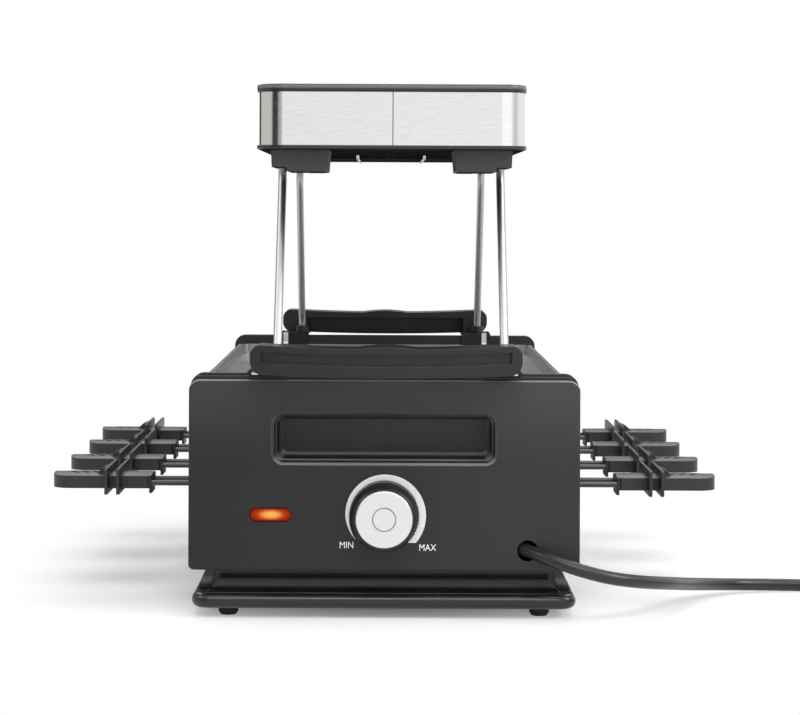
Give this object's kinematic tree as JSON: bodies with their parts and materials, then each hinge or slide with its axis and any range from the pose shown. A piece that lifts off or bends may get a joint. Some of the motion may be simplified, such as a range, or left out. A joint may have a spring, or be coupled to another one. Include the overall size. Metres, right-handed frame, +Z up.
{
  "type": "raclette grill",
  "caption": "Electric table grill with a lift-off plate and extractor hood on rods, and pull-out pans under its element.",
  "frame": {"origin": "on the table, under the middle of the body without its lead", "axes": "+Z up, +Y along the body away from the controls, +X to the right seen from the controls"},
  "size_m": [0.5744, 0.504, 0.3088],
  "materials": {
    "panel_paint": "satin dark grey paint",
    "black_moulding": "fine matt black",
    "handle_plastic": "satin black",
    "galvanised": "dull plated sheet",
    "dark_metal": "matt black paint",
    "brushed": "brushed along its length",
    "wire_steel": "bright",
    "plate_coat": "satin non-stick coat",
    "element_steel": "dull, heat tinted",
    "foot_rubber": "matt",
    "lamp_glow": "clear orange red, lit",
    "inner_plastic": "plain moulded",
    "knob_plastic": "satin black",
    "cap_metal": "spun",
    "pan_coat": "non-stick coat",
    "pan_plastic": "fine matt",
    "filter_mesh": "dull",
    "motor_can": "plain",
    "cord_black": "smooth sheath",
    "pin_metal": "nickel over brass"
  },
  "bodies": {
    "body": {"front_panel": "panel_paint", "rear_panel": "panel_paint", "front_end_frame": "black_moulding", "rear_end_frame": "black_moulding", "side_rails": "galvanised", "pan_deck": "dark_metal", "end_shields": "galvanised", "lower_walls": "dark_metal", "bottom_plate": "galvanised", "base_ring": "black_moulding", "base_shells": "black_moulding", "rubber_feet": "foot_rubber", "heating_element": "element_steel", "element_brackets": "galvanised", "thermostat_body": "inner_plastic", "lamp_lens": "lamp_glow", "lamp_holder": "inner_plastic", "terminal_block": "inner_plastic", "cable_gland": "cord_black", "mains_cord": "cord_black", "cord_coil": "cord_black", "plug_body": "cord_black", "plug_pins": "pin_metal"},
    "knob": {"knob_skirt": "knob_plastic", "knob_cap": "cap_metal", "thermostat_shaft": "motor_can"},
    "plate": {"grill_plate": "plate_coat", "front_plate_handle": "handle_plastic", "rear_plate_handle": "handle_plastic", "handle_straps": "wire_steel", "leg_cups": "handle_plastic"},
    "hood": {"hood_cover": "black_moulding", "hood_band": "brushed", "hood_lower_rim": "black_moulding", "hood_brackets": "handle_plastic", "hood_legs": "wire_steel", "fan_plate": "dark_metal", "fan_motors": "motor_can", "battery_pack": "inner_plastic", "button_switch": "inner_plastic"},
    "filter": {"filter_cassette": "filter_mesh"},
    "front_fan": {"front_fan_rotor": "dark_metal"},
    "rear_fan": {"rear_fan_rotor": "dark_metal"},
    "power_button": {"power_button": "handle_plastic"},
    "pan_1": {"pan_tray_1": "pan_coat", "pan_handle_1": "pan_plastic"},
    "pan_2": {"pan_tray_2": "pan_coat", "pan_handle_2": "pan_plastic"},
    "pan_3": {"pan_tray_3": "pan_coat", "pan_handle_3": "pan_plastic"},
    "pan_4": {"pan_tray_4": "pan_coat", "pan_handle_4": "pan_plastic"},
    "pan_5": {"pan_tray_5": "pan_coat", "pan_handle_5": "pan_plastic"},
    "pan_6": {"pan_tray_6": "pan_coat", "pan_handle_6": "pan_plastic"},
    "pan_7": {"pan_tray_7": "pan_coat", "pan_handle_7": "pan_plastic"},
    "pan_8": {"pan_tray_8": "pan_coat", "pan_handle_8": "pan_plastic"}
  },
  "joints": [
    {"name": "knob_turn", "type": "hinge", "parent": "body", "child": "knob", "pos_m": [0, -0.225, 0.0595], "axis": [0, 1, 0], "range_deg": [0, 270]},
    {"name": "plate_lift", "type": "slide", "parent": "body", "child": "plate", "axis": [0, 0, 1], "range_m": [0, 0.12]},
    {"name": "hood_lift", "type": "slide", "parent": "plate", "child": "hood", "axis": [0, 0, 1], "range_m": [0, 0.15]},
    {"name": "filter_drop", "type": "slide", "parent": "hood", "child": "filter", "axis": [0, 0, -1], "range_m": [0, 0.09]},
    {"name": "front_fan_spin", "type": "hinge", "parent": "hood", "child": "front_fan", "pos_m": [0.0035, -0.105, 0.287], "axis": [0, 0, 1], "continuous": true},
    {"name": "rear_fan_spin", "type": "hinge", "parent": "hood", "child": "rear_fan", "pos_m": [0.0035, 0.105, 0.287], "axis": [0, 0, 1], "continuous": true},
    {"name": "button_press", "type": "slide", "parent": "hood", "child": "power_button", "axis": [0, 0, -1], "range_m": [0, 0.0015]},
    {"name": "pan_1_pull", "type": "slide", "parent": "body", "child": "pan_1", "axis": [-1, 0, 0], "range_m": [0, 0.12]},
    {"name": "pan_2_pull", "type": "slide", "parent": "body", "child": "pan_2", "axis": [-1, 0, 0], "range_m": [0, 0.12]},
    {"name": "pan_3_pull", "type": "slide", "parent": "body", "child": "pan_3", "axis": [-1, 0, 0], "range_m": [0, 0.12]},
    {"name": "pan_4_pull", "type": "slide", "parent": "body", "child": "pan_4", "axis": [-1, 0, 0], "range_m": [0, 0.12]},
    {"name": "pan_5_pull", "type": "slide", "parent": "body", "child": "pan_5", "axis": [1, 0, 0], "range_m": [0, 0.12]},
    {"name": "pan_6_pull", "type": "slide", "parent": "body", "child": "pan_6", "axis": [1, 0, 0], "range_m": [0, 0.12]},
    {"name": "pan_7_pull", "type": "slide", "parent": "body", "child": "pan_7", "axis": [1, 0, 0], "range_m": [0, 0.12]},
    {"name": "pan_8_pull", "type": "slide", "parent": "body", "child": "pan_8", "axis": [1, 0, 0], "range_m": [0, 0.12]}
  ]
}
